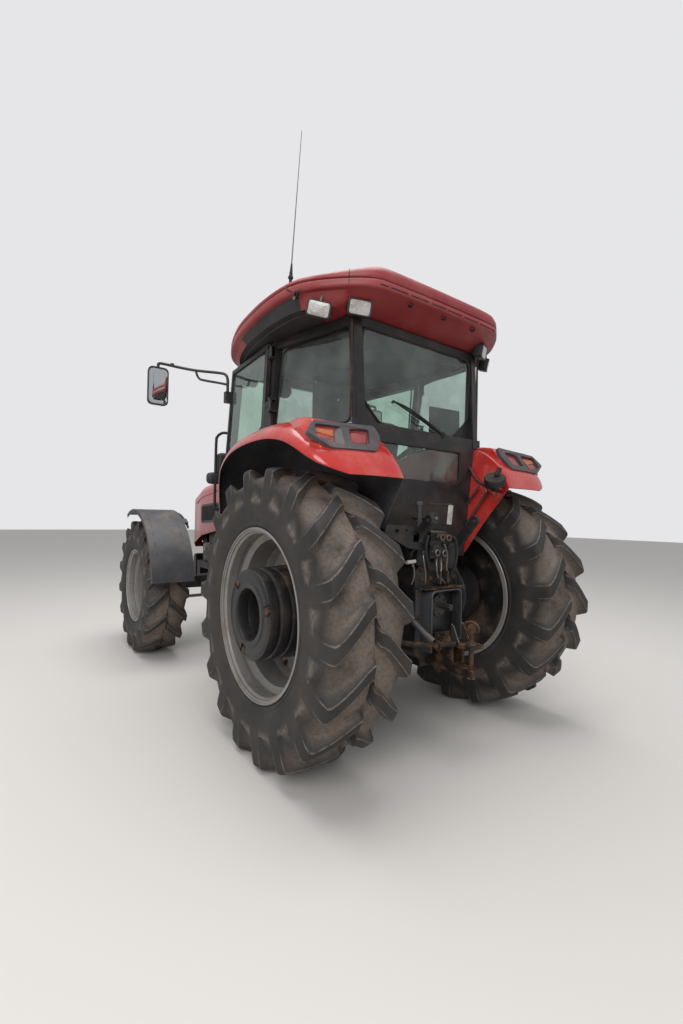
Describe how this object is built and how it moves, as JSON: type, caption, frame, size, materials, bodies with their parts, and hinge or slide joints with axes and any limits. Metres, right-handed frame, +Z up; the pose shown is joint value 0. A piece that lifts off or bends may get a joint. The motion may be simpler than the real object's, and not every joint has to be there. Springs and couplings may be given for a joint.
{
  "type": "farm tractor",
  "caption": "Glazed-cab farm tractor with lugged tyres on steered front and large rear wheels, tilting bonnet, side doors and a drawbar hitch.",
  "frame": {"origin": "on the ground under the middle of the whole machine", "axes": "-Y is forwards, +X is the tractor's left side, +Z is up"},
  "size_m": [2.64, 4.428, 3.7704],
  "materials": {
    "tyre_rubber": "worn rubber with dry soil between the lugs",
    "rim_silver": "dusty silver paint",
    "cast_black": "black painted casting",
    "chassis_black": "satin black paint with dust",
    "red_paint": "gloss red enamel",
    "roof_red": "sun-faded red moulding",
    "black_plastic": "moulded black plastic",
    "cab_black": "satin black paint",
    "cab_glass": "lightly tinted clear glass",
    "lamp_plastic": "clear lamp face in a black case",
    "bare_steel": "worn steel with light rust",
    "exhaust_steel": "heat-dulled steel",
    "seat_cloth": "dark woven cloth"
  },
  "bodies": {
    "chassis": {"antenna": "cab_black", "battery_box": "chassis_black", "bonnet_support": "chassis_black", "cab_frame": "cab_black", "cab_glass": "cab_glass", "cab_tub": "cab_black", "console": "black_plastic", "engine_block": "chassis_black", "exhaust": "exhaust_steel", "front_axle": "chassis_black", "front_frame": "chassis_black", "fuel_tank": "black_plastic", "handrails": "cab_black", "hitch": "cast_black", "hitch_pin": "bare_steel", "lamp_clusters": "black_plastic", "lift_housing": "cast_black", "mirrors": "black_plastic", "pto_guard": "black_plastic", "pto_stub": "bare_steel", "rear_axle": "chassis_black", "rear_fenders": "red_paint", "remotes": "bare_steel", "roof_liner": "black_plastic", "roof_shell": "roof_red", "seat": "seat_cloth", "steps": "chassis_black", "transmission": "chassis_black", "weight_carrier": "chassis_black", "wiper": "cab_black", "work_lamps": "lamp_plastic"},
    "wheel_rear_left": {"rear_tyre_left": "tyre_rubber", "rear_rim_left": "rim_silver", "wheel_weights_left": "cast_black"},
    "wheel_rear_right": {"rear_tyre_right": "tyre_rubber", "rear_rim_right": "rim_silver", "wheel_weights_right": "cast_black"},
    "steer_left": {"knuckle_left": "chassis_black", "front_fender_left": "black_plastic"},
    "steer_right": {"knuckle_right": "chassis_black", "front_fender_right": "black_plastic"},
    "wheel_front_left": {"front_tyre_left": "tyre_rubber", "front_rim_left": "rim_silver"},
    "wheel_front_right": {"front_tyre_right": "tyre_rubber", "front_rim_right": "rim_silver"},
    "track_rod": {"track_rod": "chassis_black"},
    "door_left": {"door_left": "cab_black", "door_glass_left": "cab_glass"},
    "door_right": {"door_right": "cab_black", "door_glass_right": "cab_glass"},
    "bonnet": {"bonnet": "red_paint", "grille": "black_plastic", "headlamps": "lamp_plastic"},
    "lift_arms": {"lift_arms": "cast_black"},
    "handwheel": {"steering_wheel": "black_plastic"}
  },
  "joints": [
    {"name": "rear_left_roll", "type": "hinge", "parent": "chassis", "child": "wheel_rear_left", "pos_m": [0.875, 1.346, 0.868], "axis": [1, 0, 0], "continuous": true},
    {"name": "rear_right_roll", "type": "hinge", "parent": "chassis", "child": "wheel_rear_right", "pos_m": [-0.875, 1.346, 0.868], "axis": [1, 0, 0], "continuous": true},
    {"name": "steering", "type": "hinge", "parent": "chassis", "child": "steer_left", "pos_m": [0.76, -1.404, 0.688], "axis": [0, 0, 1], "range_deg": [-35, 35]},
    {"name": "steering_right", "type": "hinge", "parent": "chassis", "child": "steer_right", "pos_m": [-0.76, -1.404, 0.688], "axis": [0, 0, 1], "range_deg": [-35, 35]},
    {"name": "track_rod_pivot", "type": "hinge", "parent": "steer_left", "child": "track_rod", "pos_m": [0.76, -1.184, 0.563], "axis": [0, 0, 1], "range_deg": [-35, 35]},
    {"name": "front_left_roll", "type": "hinge", "parent": "steer_left", "child": "wheel_front_left", "pos_m": [0.9775, -1.404, 0.688], "axis": [1, 0, 0], "continuous": true},
    {"name": "front_right_roll", "type": "hinge", "parent": "steer_right", "child": "wheel_front_right", "pos_m": [-0.9775, -1.404, 0.688], "axis": [1, 0, 0], "continuous": true},
    {"name": "door_left_hinge", "type": "hinge", "parent": "chassis", "child": "door_left", "pos_m": [0.77351, 0.85627, 2.4], "axis": [0, 0, 1], "range_deg": [0, 75]},
    {"name": "door_right_hinge", "type": "hinge", "parent": "chassis", "child": "door_right", "pos_m": [-0.77351, 0.85627, 2.4], "axis": [0, 0, -1], "range_deg": [0, 75]},
    {"name": "bonnet_hinge", "type": "hinge", "parent": "chassis", "child": "bonnet", "pos_m": [0, -0.376, 1.862], "axis": [-1, 0, 0], "range_deg": [0, 50]},
    {"name": "lift_shaft", "type": "hinge", "parent": "chassis", "child": "lift_arms", "pos_m": [0, 1.696, 1.225], "axis": [1, 0, 0], "range_deg": [-70, 4]},
    {"name": "handwheel_turn", "type": "hinge", "parent": "chassis", "child": "handwheel", "pos_m": [0, 0.216, 1.93], "axis": [0, 0.6157, 0.788], "continuous": true}
  ],
  "couplings": [
    {"joint": "steering_right", "follows": "steering", "ratio": 1},
    {"joint": "track_rod_pivot", "follows": "steering", "ratio": -1}
  ]
}
